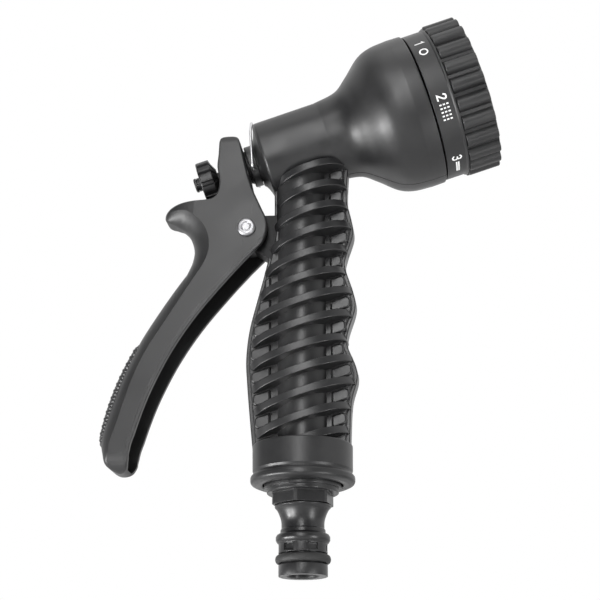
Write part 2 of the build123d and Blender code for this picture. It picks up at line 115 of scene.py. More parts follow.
def inset(outline, distance):
    """Closed 2-D outline moved inwards by distance, point by point."""
    p = np.array(outline, float)
    before, after = np.roll(p, 1, 0), np.roll(p, -1, 0)
    t1 = (p - before) / np.maximum(np.linalg.norm(p - before, axis=1), 1e-9)[:, None]
    t2 = (after - p) / np.maximum(np.linalg.norm(after - p, axis=1), 1e-9)[:, None]
    area = 0.5 * np.sum(p[:, 0] * after[:, 1] - after[:, 0] * p[:, 1])
    n1 = np.stack([-t1[:, 1], t1[:, 0]], 1) * np.sign(area)
    n2 = np.stack([-t2[:, 1], t2[:, 0]], 1) * np.sign(area)
    n = n1 + n2
    n /= np.maximum(np.linalg.norm(n, axis=1), 1e-9)[:, None]
    miter = np.clip(np.sum(n * n1, 1), 0.5, 1)
    return p + n * (distance / miter)[:, None]


# ---- meshes ----
def raw(name, verts, faces, *steps):
    """A new mesh object from points in metres. Steps run on its mesh, then its faces turn out."""
    mesh = bpy.data.meshes.new(name)
    mesh.from_pydata([tuple(v) for v in verts], [], faces)
    bm = bmesh.new()
    bm.from_mesh(mesh)
    for step in (*steps, turn_out):
        step(bm)
    bm.to_mesh(mesh)
    bm.free()
    obj = bpy.data.objects.new(name, mesh)
    bpy.context.scene.collection.objects.link(obj)
    return obj


def turn_out(bm):
    """Turn a mesh's faces outwards."""
    bmesh.ops.recalc_face_normals(bm, faces=bm.faces)


def merge_points(bm, gap=1e-6):
    """Join points that coincide, and drop the faces that this leaves without area."""
    bmesh.ops.remove_doubles(bm, verts=bm.verts, dist=gap)
    bmesh.ops.dissolve_degenerate(bm, edges=bm.edges, dist=gap / 10)


def shade(obj, crease):
    """Smooth shading, sharp where faces meet at more than crease degrees."""
    obj.data.shade_smooth()
    obj.data.set_sharp_from_angle(angle=math.radians(crease))
    weighted = obj.modifiers.new("even_normals", "WEIGHTED_NORMAL")
    weighted.keep_sharp = True
    weighted.weight = 80


def dress(obj, body, material, crease):
    """Shading, material and body of a finished mesh."""
    shade(obj, crease)
    obj.data.materials.clear()
    obj.data.materials.append(material)
    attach(obj, body)
    return obj


def piece(name, verts, faces, body, material, slot, crease=35.0):
    """A finished object from points in mm."""
    obj = raw(name, [Vector(v) * MM for v in verts], faces, merge_points)
    return dress(obj, body, material, crease)


def skin(rings, n):
    """Faces of a closed skin over rings of n points each, with flat ends."""
    faces = [
        (k * n + i, k * n + (i + 1) % n, (k + 1) * n + (i + 1) % n, (k + 1) * n + i)
        for k in range(rings - 1)
        for i in range(n)
    ]
    return faces + [tuple(range(n)), tuple((rings - 1) * n + i for i in range(n))]


def barrel_point(s, r, a):
    """Point at station s, radius r and angle a from the top (radians) about the barrel axis."""
    return CROSSING + AX * s + UP * (r * math.cos(a)) + SIDE * (r * math.sin(a))


def inlet_point(z, r, a):
    """Point at height z, radius r and angle a about the inlet axis."""
    return Vector((r * math.cos(a), r * math.sin(a), z))


def spin(outline, place, segments=160, seam=0.0):
    """Points and faces of a closed (station, radius) outline turned about an axis.
    With seam, a V groove that deep runs along the middle plane, above and below."""
    lanes = []
    for k in range(segments):
        a = 2 * math.pi * k / segments
        if seam and k in (0, segments // 2):
            lanes += [(a, -1.0, 0.0), (a, 0.0, 1.0), (a, 1.0, 0.0)]
        else:
            lanes.append((a, 0.0, 0.0))
    verts, rows = [], []
    for a, aside, deep in lanes:
        row = []
        for s, r in outline:
            turn = aside * seam / max(r, 1.0)
            row.append(len(verts))
            verts.append(place(s, max(r - deep * seam, 0.0), a + turn))
        rows.append(row)
    n = len(outline)
    faces = []
    for k, row in enumerate(rows):
        other = rows[(k + 1) % len(rows)]
        for i in range(n):
            j = (i + 1) % n
            if outline[i][1] < 1e-6 and outline[j][1] < 1e-6:
                continue
            faces.append((row[i], row[j], other[j], other[i]))
    return verts, faces


def slab(outline, thickness, place, edge=0.4, steps=4):
    """Rounded plate: outline in the plate's plane, thickness across, with edges rounded off.
    place(u, v, w) gives the point for outline coordinates u, v and height w."""
    levels = []
    for k in range(steps + 1):
        phi = math.pi / 2 * (1 - k / steps)
        levels.append((edge * (1 - math.cos(phi)), edge * (1 - math.sin(phi))))
    levels += [(d, thickness - h) for d, h in reversed(levels)]
    verts = [place(u, v, h) for d, h in levels for u, v in inset(outline, d)]
    return verts, skin(len(levels), len(outline))


def upright(half):
    """Place for a slab that stands in the middle plane, half to each side of it."""
    return lambda u, v, w: Vector((u, w - half, v))


def join(parts):
    """One list of points and one of faces from several."""
    verts, faces = [], []
    for v, f in parts:
        start = len(verts)
        verts += list(v)
        faces += [tuple(i + start for i in face) for face in f]
    return verts, faces


# ---- materials ----
def node(tree, kind, **values):
    """A new shader node; values go to its inputs or, where it has none so named, its settings."""
    made = tree.nodes.new(kind)
    for key, value in values.items():
        if key in made.inputs:
            made.inputs[key].default_value = value
        else:
            setattr(made, key, value)
    return made


def new_material(name):
    """A new material, with its node tree, its shader and the object's own coordinates."""
    made = bpy.data.materials.new(name)
    made.use_nodes = True
    tree = made.node_tree
    where = node(tree, "ShaderNodeTexCoord")
    return made, tree, tree.nodes["Principled BSDF"], where.outputs["Object"]


def noise(tree, where, **values):
    """Noise over the coordinates where."""
    made = node(tree, "ShaderNodeTexNoise", **values)
    tree.links.new(where, made.inputs["Vector"])
    return made.outputs["Fac"]


def ranged(tree, value, low, high, start=0.0, end=1.0, **values):
    """A value carried from start..end to low..high."""
    made = node(tree, "ShaderNodeMapRange", **values)
    for key, number in (("From Min", start), ("From Max", end), ("To Min", low), ("To Max", high)):
        made.inputs[key].default_value = number
    tree.links.new(value, made.inputs["Value"])
    return made.outputs["Result"]


def colour(tree, bsdf, share, dark, light):
    """Base colour between dark and light."""
    tone = node(tree, "ShaderNodeMix", data_type="RGBA")
    tone.inputs[6].default_value = (*dark, 1)
    tone.inputs[7].default_value = (*light, 1)
    tree.links.new(share, tone.inputs[0])
    tree.links.new(tone.outputs[2], bsdf.inputs["Base Color"])


def texture(tree, bsdf, height, strength, depth):
    """Fine surface texture from a height."""
    bump = node(tree, "ShaderNodeBump", Strength=strength, Distance=depth)
    tree.links.new(height, bump.inputs["Height"])
    tree.links.new(bump.outputs["Normal"], bsdf.inputs["Normal"])


def plastic(name, dark, light, roughness, grain=0.1, specular=0.5):
    """Moulded plastic: fine moulded texture, slow drift in tone and gloss, convex edges made paler
    as a painted highlight.
    """
    made, tree, bsdf, where = new_material(name)
    bsdf.inputs["Specular IOR Level"].default_value = specular
    bsdf.inputs["IOR"].default_value = 1.5
    slow = noise(tree, where, Scale=90.0, Detail=3.0, Roughness=0.5)
    fine = noise(tree, where, Scale=4000.0, Detail=4.0, Roughness=0.6)
    shape = node(tree, "ShaderNodeNewGeometry")
    # Paler where edges are convex (high pointiness): a painted edge highlight.
    edge = ranged(tree, shape.outputs["Pointiness"], 0.0, 0.8, 0.505, 0.62)
    drift = ranged(tree, slow, 0.0, 0.45, 0.3, 0.7)
    total = node(tree, "ShaderNodeMath", operation="ADD", use_clamp=True)
    tree.links.new(edge, total.inputs[0])
    tree.links.new(drift, total.inputs[1])
    colour(tree, bsdf, total.outputs["Value"], dark, light)
    gloss = ranged(tree, slow, roughness - 0.06, roughness + 0.06, 0.3, 0.7)
    tree.links.new(gloss, bsdf.inputs["Roughness"])
    texture(tree, bsdf, fine, grain, 0.05 * MM)
    return made


def metal(name, tint, roughness, scratch=0.08):
    """Plated or drawn metal with fine drawn scratches and slightly uneven polish."""
    made, tree, bsdf, where = new_material(name)
    bsdf.inputs["Metallic"].default_value = 1.0
    fine = noise(tree, where, Scale=2500.0, Detail=3.0)
    gloss = ranged(tree, fine, roughness * 0.6, roughness * 1.5)
    tree.links.new(gloss, bsdf.inputs["Roughness"])
    colour(tree, bsdf, fine, [c * 0.82 for c in tint], tint)
    texture(tree, bsdf, fine, scratch, 0.03 * MM)
    return made


def ink(name, tint):
    """Pad-printed ink: matt, a little uneven where the pad lifted."""
    made, tree, bsdf, where = new_material(name)
    fine = noise(tree, where, Scale=1800.0, Detail=5.0)
    colour(tree, bsdf, fine, [c * 0.8 for c in tint], tint)
    tree.links.new(ranged(tree, fine, 0.45, 0.7), bsdf.inputs["Roughness"])
    return made


SHELL = plastic("satin_nylon", (0.009, 0.009, 0.0095), (0.018, 0.018, 0.0185), 0.4)
HANDLE = plastic("satin_handle", (0.009, 0.009, 0.0095), (0.018, 0.018, 0.0185), 0.36)
# Handle plastic made darker and less glossy for the lug: painted shade, for the lever's shadow
# over it.
LUG_PAINTED_SHADE = plastic("lug_painted_shade", (0.005, 0.005, 0.0055), (0.011, 0.011, 0.0115), 0.5, specular=0.25)
LEVER = plastic("satin_lever", (0.012, 0.012, 0.0125), (0.022, 0.022, 0.0225), 0.42)
KNOB = plastic("satin_knob", (0.006, 0.006, 0.0065), (0.014, 0.014, 0.0145), 0.34)
DIAL = plastic("satin_dial", (0.009, 0.009, 0.0095), (0.018, 0.018, 0.0185), 0.42)
SPIGOT = plastic("semi_gloss_spigot", (0.007, 0.007, 0.0075), (0.015, 0.015, 0.0155), 0.36)
FITTING = plastic("satin_fitting", (0.007, 0.007, 0.0075), (0.015, 0.015, 0.0155), 0.36)
FACE = plastic("satin_face", (0.016, 0.016, 0.0165), (0.034, 0.034, 0.035), 0.46)
ACETAL = plastic("natural_acetal", (0.62, 0.61, 0.57), (0.74, 0.73, 0.69), 0.4)
RUBBER = plastic("seal_rubber", (0.008, 0.008, 0.008), (0.02, 0.02, 0.02), 0.62, grain=0.2)
STEM = plastic("black_acetal", (0.012, 0.012, 0.0125), (0.026, 0.026, 0.027), 0.3)
SPRING = metal("drawn_steel", (0.56, 0.56, 0.57), 0.3)
RIVET = metal("nickel_rivet", (0.4, 0.4, 0.41), 0.4, scratch=0.15)
WIRE = metal("bright_wire", (0.7, 0.7, 0.71), 0.34)
PRINT = ink("white_print", (0.82, 0.82, 0.82))

# ---- body: barrel and bell, core, ribs, spines, collar, lug ----
BARREL_R = 14.0
BELL_R = 26.6
BARREL_SEAM = 0.3  # depth of the mould seam
COLLAR_SEAM = 0.08
HANDLE_Y = 12.3
CORE_R = 9.2
CORE_FORWARD = 0.4
RIBS = 13
RIB_PITCH = 7.78
RIB_TOP = 133.1
RIB_TALL = 2.7
RIB_THICK = RIB_TALL * math.cos(TILT)
RIB_SQUARE = 0.9  # 1 is an ellipse, less is squarer
RIB_POINTS = 120
BLOCK_HALF = 5.4
BLOCK_GAP = 0.45  # between a block and the ribs above and below it
BLOCK_TRIM = 1.5
REAR_BLOCKS_FROM = 4  # the upper gaps, behind the lever, have none
LUG_HALF = 3.4
LUG_R = 6.5
# Outlines of the handle in the middle plane, as (x, z).
REAR = [(-15.6, 36), (-16.8, 48), (-18.0, 62), (-18.4, 71), (-17.3, 81), (-14.6, 92),
        (-11.6, 104), (-9.6, 115), (-9.1, 124), (-9.5, 140)]
FRONT = [(16.6, 140), (15.9, 126.5), (17.3, 119), (17.9, 113.5), (15.6, 106), (15.0, 101.5),
         (17.6, 92.5), (18.2, 87), (15.6, 78.5), (15.4, 74), (18.0, 67), (18.5, 62.5),
         (16.6, 55.5), (15.9, 46), (15.6, 36)]


def reach(points, z):
    """X of an outline at height z."""
    pts = sorted(points, key=lambda p: p[1])
    return float(np.interp(z, [p[1] for p in pts], [p[0] for p in pts]))


def make_barrel():
    flare = curve(
        [(9.0, 14.1), (17.0, 15.4), (22.0, 18.9), (28.0, 24.0), (33.0, 26.0), (39.5, BELL_R)], 10
    )
    rear = curve([(-16.2, 7.6), (-15.2, 8.8), (-14.35, 10.9), (-13.8, 13.1)], 6)
    rim = [
        (44.3, 26.5, 0.45),
        (44.3, 24.3, 0.3),
        (33.5, 23.2, 1.0),
        (32.0, 21.5, 1.0),
        (32.0, 5.0, 0.4),
    ]
    spindle = [(49.0, 5.0, 0.3), (49.0, 1.6, 0), (38.0, 1.6, 0), (38.0, 0, 0), (29.0, 0, 0)]
    bore = [
        (29.0, 17.0, 1),
        (26.0, 15.0, 1),
        (24.0, 4.6, 0),
        (19.0, 4.6, 0),
        (19.0, 9.0, 0),
        (-10.0, 9.0, 0),
        (-11.5, 6.0, 0),
        (-16.2, 6.0, 0.2),
    ]
    shoulder = [(-13.8, 13.1, 0.5), (-13.1, BARREL_R, 0.9)]
    outline = rounded(plain(rear[:-1]) + shoulder + plain(flare) + rim + spindle + bore)
    verts, faces = spin(outline, barrel_point, 192, seam=BARREL_SEAM)
    return piece("barrel_and_bell", verts, faces, "base", SHELL, "black_nylon")


def make_ribs():
    for k in range(RIBS):
        z = RIB_TOP - k * RIB_PITCH
        rear = (reach(REAR, z - 4.4) + 1.3) / math.cos(TILT)
        front = reach(FRONT, z + 5.6) / math.cos(TILT)
        mid, half = (front + rear) / 2, (front - rear) / 2
        outline = []
        for i in range(RIB_POINTS):
            t = 2 * math.pi * i / RIB_POINTS
            c, d = math.cos(t), math.sin(t)
            u = mid + half * math.copysign(abs(c) ** RIB_SQUARE, c)
            outline.append((u, HANDLE_Y * math.copysign(abs(d) ** RIB_SQUARE, d)))
        centre = Vector((0, 0, z))
        verts, faces = slab(
            outline, RIB_THICK, lambda u, v, w: centre + AX * u + SIDE * v + UP * w, edge=0.32
        )
        piece(f"handle_rib_{k + 1:02d}", verts, faces, "base", HANDLE, "black_nylon")


def make_blocks():
    """Rounded filler blocks between the ribs, behind and in front of the core."""
    rise = math.tan(TILT)
    for k in range(RIBS - 1):
        low = RIB_TOP - (k + 1) * RIB_PITCH + RIB_TALL + BLOCK_GAP
        high = RIB_TOP - k * RIB_PITCH - BLOCK_GAP
        middle = (low + high) / 2
        ends = [("front", reach(FRONT, middle + 5.0) - 1.4, 9.9)]
        if k >= REAR_BLOCKS_FROM:
            ends.insert(0, ("rear", reach(REAR, middle - 4.4) + 1.7, -9.8))
        for end, outer, inner in ends:
            corners = [
                (outer, low + outer * rise, BLOCK_TRIM),
                (inner, low + inner * rise, 0.5),
                (inner, high + inner * rise, 0.5),
                (outer, high + outer * rise, BLOCK_TRIM),
            ]
            verts, faces = slab(rounded(corners), 2 * BLOCK_HALF, upright(BLOCK_HALF), edge=0.7)
            piece(f"handle_block_{end}_{k + 1:02d}", verts, faces, "base", HANDLE, "black_nylon")


def make_spine(name, shrink, half, edge):
    rear = curve([(x + shrink, z) for x, z in REAR], 6)
    front = curve([(x - shrink, z) for x, z in FRONT], 6)
    verts, faces = slab(rear + front, 2 * half, upright(half), edge=edge)
    piece(name, verts, faces, "base", HANDLE, "black_nylon")


def make_core():
    outline = rounded(plain([(36.0, 5.0), (36.0, CORE_R), (140.0, CORE_R), (140.0, 5.0)]))
    forward = Vector((CORE_FORWARD, 0, 0))
    verts, faces = spin(outline, lambda z, r, a: inlet_point(z, r, a) + forward, 128)
    piece("handle_core", verts, faces, "base", HANDLE, "black_nylon")


def make_collar():
    outline = rounded(
        [
            (31.4, 6.45, 0),
            (31.4, 12.9, 0.3),
            (28.7, 12.9, 0.3),
            (28.4, 13.3, 0.2),
            (28.4, 15.0, 1.2),
            (29.2, 16.8, 1.2),
            (31.2, 16.8, 1.2),
            (32.2, 15.75, 0.5),
            (33.2, 16.1, 0.6),
            (41.6, 16.2, 0.7),
            (41.6, 5.0, 0),
            (39.0, 5.0, 0),
            (39.0, 6.45, 0),
        ],
        steps=6,
    )
    verts, faces = spin(outline, inlet_point, 160, seam=COLLAR_SEAM)
    piece("inlet_collar", verts, faces, "base", SHELL, "black_nylon")


def make_lug():
    nose = []
    for a in range(99, 289, 9):
        turn = math.radians(a)
        nose.append((PIVOT.x + LUG_R * math.cos(turn), PIVOT.z + LUG_R * math.sin(turn)))
    outline = rounded(plain([(-6, 121.6)] + nose + [(-10.4, 105.6), (-6, 103.5)]))
    verts, faces = slab(outline, 2 * LUG_HALF, upright(LUG_HALF), edge=0.35, steps=3)
    # The lug takes the darker plastic, which paints in the shade cast by the lever.
    piece("pivot_lug", verts, faces, "base", LUG_PAINTED_SHADE, "black_nylon")


barrel = make_barrel()
make_ribs()
make_blocks()
make_spine("handle_spine_wide", 1.3, 4.6, 0.5)
make_spine("handle_spine_narrow", 0.1, 3.2, 0.4)
make_core()
make_collar()
make_lug()
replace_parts(barrel, "body")

# ---- dial ----
BAND_R = 25.9
RIDGES = 24
RIDGE_TURN = -2.1
RIDGE_FLOOR = 24.95
RIDGE_TOP = 27.1
RIDGE_HALF = (2.95, 2.3)  # at its foot and at its crown
RIDGE_ENDS = (52.8, 63.9)
PATTERNS = 7
MARK_FIRST = -21.1  # degrees below the near side's middle


def ridge(angle, edge=0.4, steps=3):
    """One crowned rib of the dial's grip, which runs along the axis."""
    foot, tall = RIDGE_FLOOR - 0.3, RIDGE_TOP - RIDGE_FLOOR
    wide, narrow = RIDGE_HALF
    section = [(-wide, foot)]
    for k in range(17):
        t = -1 + k / 8
        rise = (1 - abs(t) ** 3.2) ** 0.75
        section.append(((wide + (narrow - wide) * rise) * t, RIDGE_FLOOR + tall * rise))
    section.append((wide, foot))
    turns = [math.pi / 2 * k / (steps + 1) for k in range(steps + 2)]
    stations = [(edge * (1 - math.sin(phi)), edge * (1 - math.cos(phi))) for phi in turns]
    ends = [(RIDGE_ENDS[0] + along, down) for down, along in stations]
    ends += [(RIDGE_ENDS[1] - along, down) for down, along in reversed(stations)]
    verts = []
    for s, down in ends:
        keep = 1 - down / tall
        for aside, r in section:
            r = foot + (r - foot) * keep if r > RIDGE_FLOOR else r
            verts.append(barrel_point(s, r, angle + aside / RIDGE_TOP))
    return verts, skin(len(ends), len(section))


# Printed marks: strokes in a box 0.6 wide and 1 tall for the numerals, 2 wide for the symbols.
NUMERALS = [
    [[(0.12, 0.8), (0.36, 1.0), (0.36, 0.0)]],
    [[(0.05, 0.78), (0.12, 0.95), (0.3, 1.0), (0.5, 0.95), (0.57, 0.78), (0.5, 0.6), (0.05, 0),
      (0.6, 0)]],
    [[(0.05, 0.87), (0.2, 1), (0.4, 1), (0.55, 0.87), (0.55, 0.66), (0.4, 0.54), (0.22, 0.54)],
     [(0.4, 0.54), (0.57, 0.4), (0.57, 0.14), (0.42, 0), (0.2, 0), (0.03, 0.14)]],
    [[(0.45, 0), (0.45, 1), (0.02, 0.3), (0.62, 0.3)]],
    [[(0.55, 1), (0.1, 1), (0.07, 0.55), (0.3, 0.62), (0.5, 0.54), (0.58, 0.32), (0.5, 0.1),
      (0.3, 0), (0.1, 0.03), (0.02, 0.15)]],
    [[(0.52, 0.93), (0.32, 1), (0.12, 0.85), (0.04, 0.5), (0.04, 0.25), (0.15, 0.03), (0.35, 0),
      (0.52, 0.1), (0.58, 0.3), (0.5, 0.5), (0.33, 0.58), (0.15, 0.5), (0.05, 0.32)]],
    [[(0.03, 1), (0.6, 1), (0.25, 0)]],
]


def loop(x, y, r, n=16):
    """Closed circle."""
    turns = [2 * math.pi * k / n for k in range(n + 1)]
    return [(x + r * math.cos(t), y + r * math.sin(t)) for t in turns]


def dots(columns, rows):
    """Short upright dashes in even columns and rows."""
    places = [
        (0.15 + 1.7 * i / (columns - 1), 0.1 + 0.8 * j / (rows - 1))
        for i in range(columns)
        for j in range(rows)
    ]
    return [[(x, y - 0.04), (x, y + 0.04)] for x, y in places]


SYMBOLS = [
    [loop(1.0, 0.5, 0.44)],
    dots(5, 3),
    [[(0.1, 0.62), (1.9, 0.62)], [(0.1, 0.38), (1.9, 0.38)]],
    [loop(0.55, 0.5, 0.4), loop(1.45, 0.5, 0.4)],
    [[(0.1, 0.5), (1.8, 0.5)], [(0.1, 0.5), (1.8, 0.98)], [(0.1, 0.5), (1.8, 0.02)]],
    [[(0.1 + 0.15 * k, 0.5 + 0.3 * math.sin(math.pi * k / 2)) for k in range(13)]],
    dots(3, 2),
]
MARK_TALL = 3.0
MARK_LINE = 0.5
MARK_FOOT = 47.0
MARK_SINK = 0.15  # how deep a mark reaches into the band
MARK_PROUD = 0.03


def stroke(points, width):
    """Outline strip along a line in the band's unrolled plane, mitred at its bends."""
    fine = [points[0]]
    for a, b in zip(points, points[1:]):
        n = max(1, int(math.dist(a, b) / 0.7))
        over, up = b[0] - a[0], b[1] - a[1]
        fine += [(a[0] + over * k / n, a[1] + up * k / n) for k in range(1, n + 1)]
    p = [Vector(q) for q in fine]
    closed = (p[0] - p[-1]).length < 1e-6
    rows = []
    for i, q in enumerate(p):
        before = p[i] - p[i - 1] if i else (p[-1] - p[-2] if closed else p[1] - p[0])
        after = p[i + 1] - p[i] if i < len(p) - 1 else (p[1] - p[0] if closed else before)
        along = (before.normalized() + after.normalized()).normalized()
        stretch = 1 / max(along.dot(after.normalized()), 0.6)
        aside = Vector((-along.y, along.x)) * (width / 2 * stretch)
        rows.append((q + aside, q - aside))
    if not closed:
        first = (p[0] - p[1]).normalized() * width / 2
        last = (p[-1] - p[-2]).normalized() * width / 2
        rows[0] = tuple(q + first for q in rows[0])
        rows[-1] = tuple(q + last for q in rows[-1])
    return rows, closed


def mark(strokes, middle, low, high):
    """Thin raised print on the band; x runs down the near side, y towards the ring."""
    verts, faces = [], []
    for points in strokes:
        rows, closed = stroke(points, MARK_LINE)
        if closed:
            rows = rows[:-1]
        start = len(verts)
        for left, right in rows:
            for q, r in ((left, high), (right, high), (right, low), (left, low)):
                verts.append(barrel_point(MARK_FOOT + q.y, r, middle - q.x / BAND_R))
        n = len(rows)
        for k in range(n if closed else n - 1):
            a, b = start + 4 * k, start + 4 * ((k + 1) % n)
            for i in range(4):
                j = (i + 1) % 4
                faces.append((a + i, a + j, b + j, b + i))
        if not closed:
            faces.append(tuple(start + i for i in range(4)))
            faces.append(tuple(start + 4 * (n - 1) + i for i in range(4)))
    return verts, faces


def make_marks():
    for k in range(PATTERNS):
        numeral = [[(x * MARK_TALL, y * MARK_TALL) for x, y in line] for line in NUMERALS[k]]
        symbol = [[((x + 1.0) * MARK_TALL, y * MARK_TALL) for x, y in line] for line in SYMBOLS[k]]
        half = 1.5 * MARK_TALL
        strokes = [[(x - half, y) for x, y in line] for line in numeral + symbol]
        middle = math.radians(-90 - MARK_FIRST - k * 360 / PATTERNS)
        verts, faces = mark(strokes, middle, BAND_R - MARK_SINK, BAND_R + MARK_PROUD)
        piece(f"dial_mark_{k + 1}", verts, faces, "dial", PRINT, "black_dial")


def make_dial():
    outline = rounded(
        [
            (44.8, 24.2, 0.2),
            (44.8, BAND_R, 0.35),
            (51.6, BAND_R, 0.3),
            (52.0, BAND_R + 0.4, 0.15),
            (52.6, BAND_R + 0.4, 0.15),
            (52.6, 25.0, 0.1),
            (64.2, 25.0, 0.5),
            (64.2, 24.2, 0.3),
            (61.2, 23.5, 0.2),
            (57.6, 23.5, 0),
            (57.6, 22.2, 0),
            (48.7, 22.2, 0.4),
            (48.7, 5.06, 0.2),
            (45.7, 5.06, 0.2),
            (45.7, 24.2, 0.2),
        ]
    )
    band = piece("dial_band", *spin(outline, barrel_point, 192), "dial", DIAL, "black_dial")
    turns = [math.radians(RIDGE_TURN + 360 / RIDGES * k) for k in range(RIDGES)]
    piece("dial_grip_ridges", *join(map(ridge, turns)), "dial", DIAL, "black_dial")
    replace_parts(band, "dial")


make_dial()
make_marks()

# ---- lever ----
LEVER_HALF = 8.1
LEVER_WALL = 1.8
TIP_BOTTOM = 33.1
TIP_ROUND = 7.6
TOE = (-64.9, 40.2)
# Arcs and lines of the lever in the middle plane, as (x, z).
BACK = ((-38.9, 101.0), (-54.9, 77.0), (-65.8, 50.0))
INNER = ((-35.1, 101.7), (-51.3, 75.6), (-61.7, 49.2))
CREASE = [(-46.3, 123.0), (-44.0, 124.3), (-41.3, 124.4), (-38.7, 123.4), (-35.8, 121.0),
          (-33.1, 118.4), (-31.3, 114.8), (-30.6, 110.6), (-31.1, 106.4), (-33.0, 102.4),
          (-35.6, 98.4), (-38.4, 94.0), (-44.4, 84.3), (-50.4, 74.6), (-54.9, 65.0),
          (-58.0, 55.5), (-60.2, 48.0), (-62.0, 42.0), (-61.6, 38.0)]
CREASE_FROM = (-46.2, 124.3)
CREASE_TO = (-61.4, 35.3)
LEVER_EDGE = 0.55  # rounding away from the crease
LEVER_STEP = 0.55  # between the outline's points
LIP = 0.35  # rounding of the front edges
LIP_DROP = 0.12  # step from the side down to the lip
LIP_FROM = (-55.2, 36.5)
LIP_TO = (-12.4, 110.8)
SLOPE_STEPS = 10
STEEP = math.radians(66)  # how steeply the shoulder starts
SHOULDER_DEEP = 7.3
CAP_START = 147.2
CAP_RISE = 3.75
CAP_END = 0.8
HORN_START = -34.5
HORN_REACH = 12.8
HORN_END = 0.22
HORN_FLOOR = 113.0
SLOT_R = 2.35
HOLE_R = 2.46
PAD_OUTER = ((-54.8, 78.5), (-62.9, 61.4), (-66.7, 47.0))
PAD_FOOT = (-65.7, 41.2)
PAD_HALF = 4.9
PAD_PITCH = 2.5
PAD_BUMP = 0.38
PAD_SEAT = 0.45  # how deep the lever's back is let in for it
SEAT_TOP = 79.5
SEAT_FOOT = 40.5
SEAT_FRONT = -54.0
PAD_SCALLOP = 0.22
PAD_THICK = 2.6
PAD_STEP = 0.2
PAD_LANES = 48


def arc(start, through, end, steps):
    """Points on the circle from start through a middle point to end."""
    a, b, c = (complex(*p) for p in (start, through, end))
    w = (c - a) / (b - a)
    centre = a + (b - a) * (w - abs(w) ** 2) / (2j * w.imag)
    turn = cmath.phase((c - centre) / (a - centre))
    if w.imag > 0 and turn < 0:
        turn += 2 * math.pi
    if w.imag < 0 and turn > 0:
        turn -= 2 * math.pi
    points = [centre + (a - centre) * cmath.exp(1j * turn * k / steps) for k in range(steps + 1)]
    return [(p.real, p.imag) for p in points]


def bend(start, end, tangent, steps):
    """Arc that leaves start along tangent and ends at end."""
    a, b = complex(*start), complex(*end)
    chord = b - a
    lean = cmath.phase(complex(*tangent) / chord)
    middle = a + chord / 2 + 1j * chord / 2 * math.tan(lean / 2)
    return arc(start, (middle.real, middle.imag), end, steps)


def heading(a, b):
    """Direction from a to b."""
    return (b[0] - a[0], b[1] - a[1])


def lengths(points):
    """Distance along a line at each of its points."""
    return np.concatenate([[0], np.cumsum(np.linalg.norm(np.diff(points, axis=0), axis=1))])


def resample(outline, step):
    """Closed outline with evenly spaced points."""
    p = np.array(outline + outline[:1], float)
    along = lengths(p)
    at = np.linspace(0, along[-1], int(along[-1] / step) + 1)[:-1]
    return np.stack([np.interp(at, along, p[:, i]) for i in range(2)], 1)


def nearest(point, line):
    """Nearest point on an open line."""
    a, b = line[:-1], line[1:]
    d = b - a
    t = np.clip(np.sum((point - a) * d, 1) / np.sum(d * d, 1), 0, 1)
    q = a + d * t[:, None]
    return q[closest(q, point)]


def closest(points, place):
    """Index of the point that lies closest to a place."""
    return int(np.argmin(np.linalg.norm(points - place, axis=1)))


def lever_outline():
    back = arc(*BACK, 60)
    horn = curve(
        [(-43.7, 119.9), (-40.7, 118.2), (-38.4, 115.4), (-36.9, 110.8), (-37.2, 106.6), BACK[0]]
    )
    toe = bend(BACK[2], TOE, heading(back[-2], back[-1]), 12)
    foot = curve([TOE, (-63.6, 36.2), (-61.0, 34.1), (-58.6, 33.5), (-56.7, 34.8), (-55.8, 37.5)])
    front = curve([(-55.8, 37.5), (-55.3, 41.0), (-51.6, 53.2), (-47.8, 62.8), (-42.1, 74.0),
                   (-34.6, 85.3), (-25.4, 96.5), (-18.2, 104.5)], 10)
    knee = arc((-13.1, 109.6), (-11.0, 115.4), (-12.4, 121.5), 14)
    head = [(-16.1, 130.0), (-17.8, 135.6)]
    cap = curve([(-20.4, 147.5), (-21.5, 150.1), (-23.4, 150.9), (-25.9, 150.9), (-27.4, 150.2),
                 (-27.9, 148.5)], 6)
    rear = curve([(-27.9, 148.5), (-28.1, 143.6), (-28.4, 139.2), (-27.6, 133.6), (-28.2, 129.2),
                  (-30.0, 127.5), (-32.5, 127.0), (-37.3, 126.8), (-41.6, 126.2), (-45.0, 125.0),
                  (-47.1, 123.2), (-46.5, 121.2), (-43.7, 119.9)])
    line = horn[:-1] + back[:-1] + toe[:-1] + foot[:-1] + front + knee + head
    line += cap[:-1] + rear[:-1]
    return resample(line, LEVER_STEP)


def slice_at(bm, axis, places):
    """Cut a mesh's faces across at places (mm) along axis 0, 1 or 2."""
    square = [float(i == axis) for i in range(3)]
    for at in places:
        everything = bm.verts[:] + bm.edges[:] + bm.faces[:]
        point = [part * at * MM for part in square]
        bmesh.ops.bisect_plane(bm, geom=everything, plane_co=point, plane_no=square)


def eased(start, run, steps):
    """Places from start that close up towards start + run."""
    return [start + run * math.sin(math.pi / 2 * k / steps) for k in range(1, steps)]


def round_tip(half, bottom, radius):
    """Step that rounds a block's lower end off across."""

    def step(bm):
        shares = [1 - math.sin(math.pi / 2 * k / 9) for k in range(1, 9)]
        slice_at(bm, 2, [bottom + radius * share for share in shares])
        for vert in bm.verts:
            over = bottom + radius - vert.co.z / MM
            if over > 0:
                drawn = half - radius + math.sqrt(max(radius**2 - over**2, 0.0))
                vert.co.y *= drawn / half

    return step


def oval(t, end):
    """Width, as a share, on a quarter oval from 1 at t = 0 to end at t = 1."""
    return end + (1 - end) * math.sqrt(max(1 - t * t, 0.0))


def round_horn(bm):
    """Draw the sides of the horn in towards its end."""
    slice_at(bm, 0, eased(HORN_START, -HORN_REACH, 12))
    for vert in bm.verts:
        t = (HORN_START - vert.co.x / MM) / HORN_REACH
        if t > 0 and vert.co.z / MM > HORN_FLOOR:
            vert.co.y *= oval(t, HORN_END)


